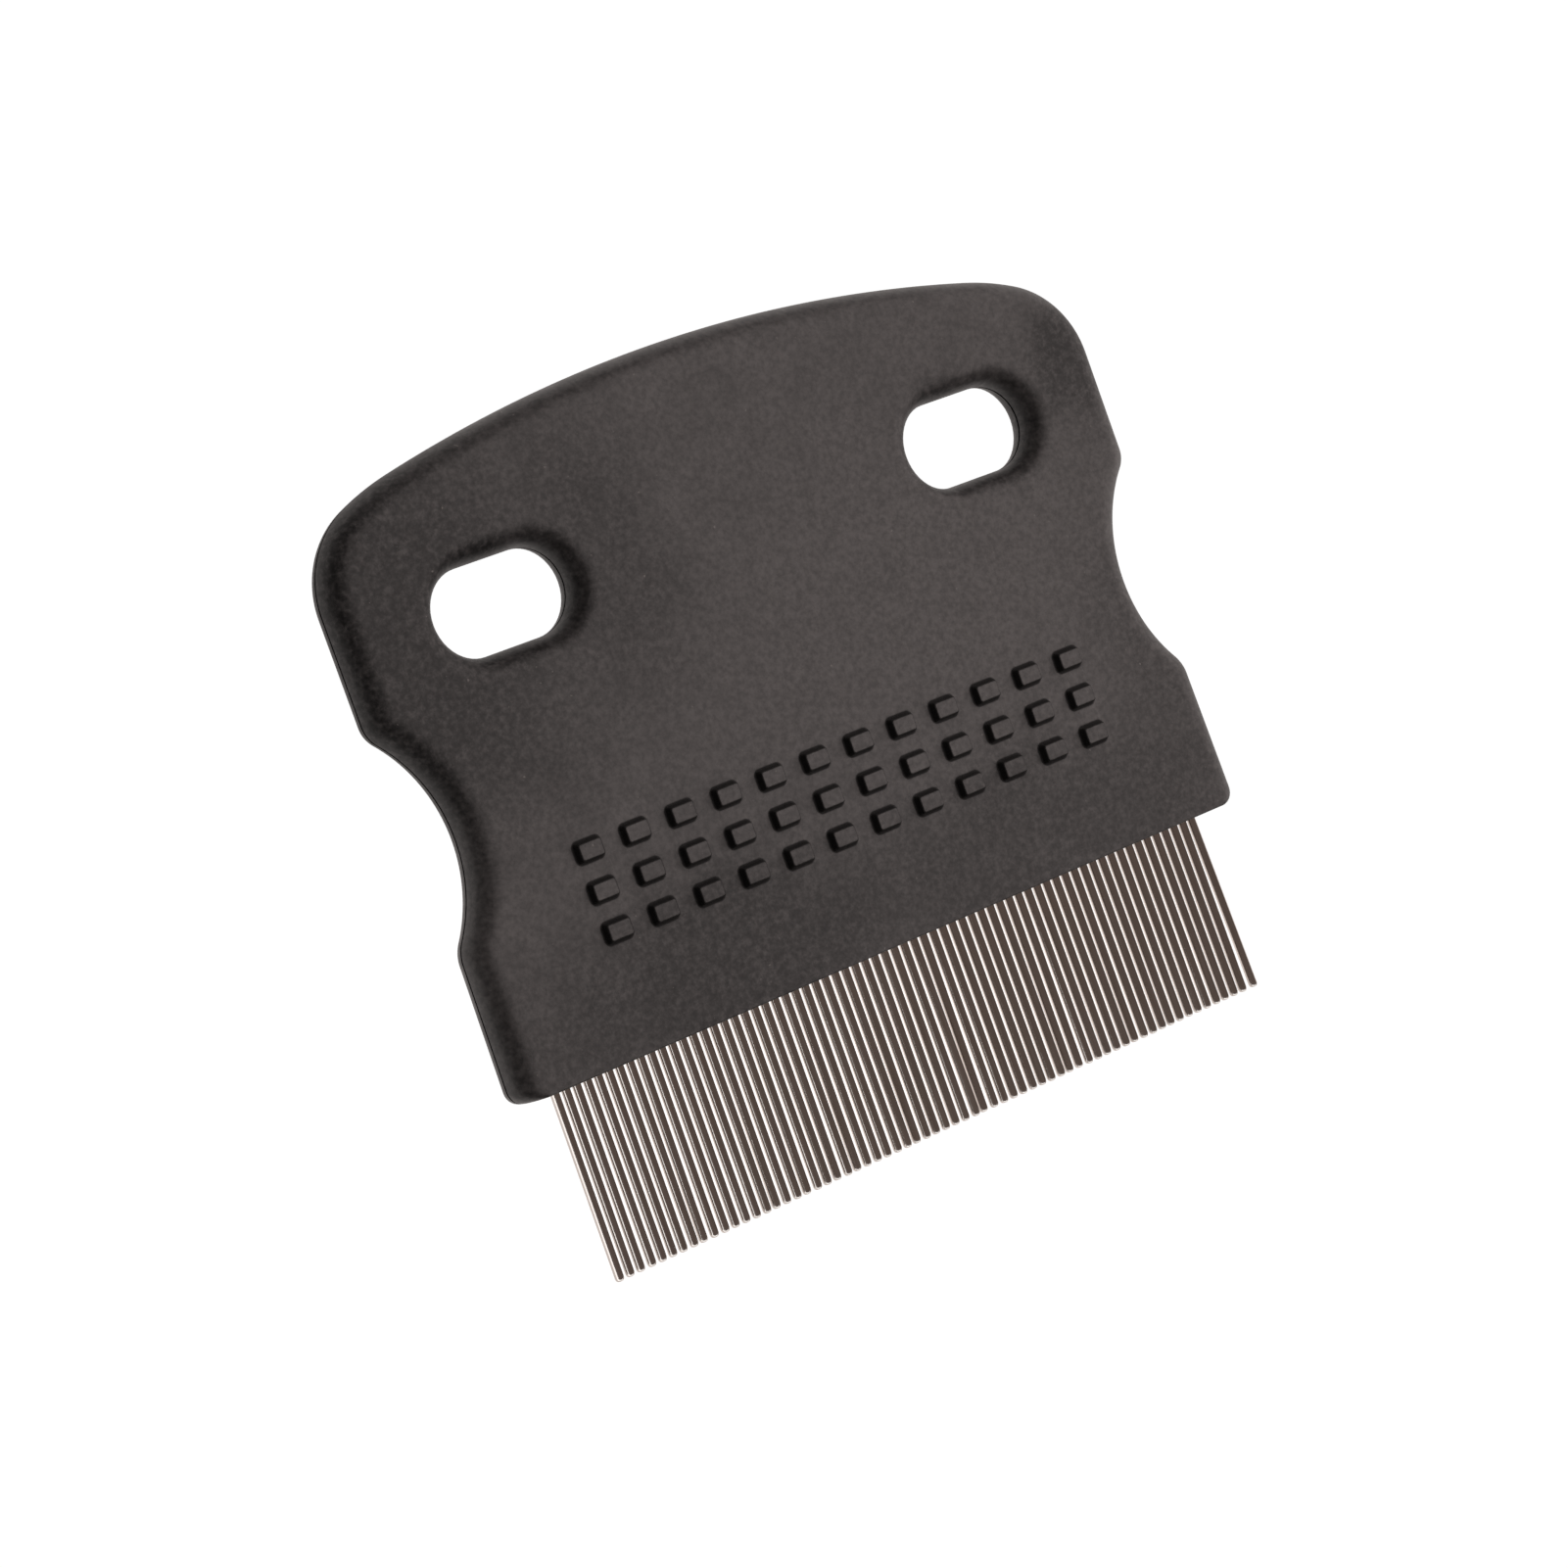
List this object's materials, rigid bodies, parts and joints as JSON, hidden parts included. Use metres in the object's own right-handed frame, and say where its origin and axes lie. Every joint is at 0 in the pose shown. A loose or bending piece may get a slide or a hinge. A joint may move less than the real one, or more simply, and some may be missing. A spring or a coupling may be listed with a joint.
{
  "type": "flea comb",
  "caption": "Flat hand comb for pets: a two-part moulded handle with finger notches, hanging slots and a raised grip field, and one close row of fine round steel teeth.",
  "frame": {"origin": "centre of the footprint, on the plane of the flat back that the comb lies on", "axes": "+X across the comb along the row of teeth, +Y from the tooth tips to the top of the handle, +Z out of the front with the grip bumps"},
  "size_m": [0.0686, 0.0616, 0.0048],
  "materials": {
    "handle_plastic": "fine matte mould grain",
    "bar_plastic": "as moulded, hidden",
    "tooth_steel": "drawn wire, polished"
  },
  "bodies": {
    "root": {"front_shell": "handle_plastic", "back_shell": "handle_plastic", "tooth_bar": "bar_plastic", "tooth_pair_01": "tooth_steel", "tooth_pair_02": "tooth_steel", "tooth_pair_03": "tooth_steel", "tooth_pair_04": "tooth_steel", "tooth_pair_05": "tooth_steel", "tooth_pair_06": "tooth_steel", "tooth_pair_07": "tooth_steel", "tooth_pair_08": "tooth_steel", "tooth_pair_09": "tooth_steel", "tooth_pair_10": "tooth_steel", "tooth_pair_11": "tooth_steel", "tooth_pair_12": "tooth_steel", "tooth_pair_13": "tooth_steel", "tooth_pair_14": "tooth_steel", "tooth_pair_15": "tooth_steel", "tooth_pair_16": "tooth_steel", "tooth_pair_17": "tooth_steel", "tooth_pair_18": "tooth_steel", "tooth_pair_19": "tooth_steel", "tooth_pair_20": "tooth_steel", "tooth_pair_21": "tooth_steel", "tooth_pair_22": "tooth_steel", "tooth_pair_23": "tooth_steel", "tooth_pair_24": "tooth_steel", "tooth_pair_25": "tooth_steel", "tooth_pair_26": "tooth_steel", "tooth_pair_27": "tooth_steel", "tooth_pair_28": "tooth_steel", "tooth_pair_29": "tooth_steel", "tooth_pair_30": "tooth_steel", "tooth_pair_31": "tooth_steel", "tooth_pair_32": "tooth_steel", "tooth_pair_33": "tooth_steel"}
  },
  "joints": []
}
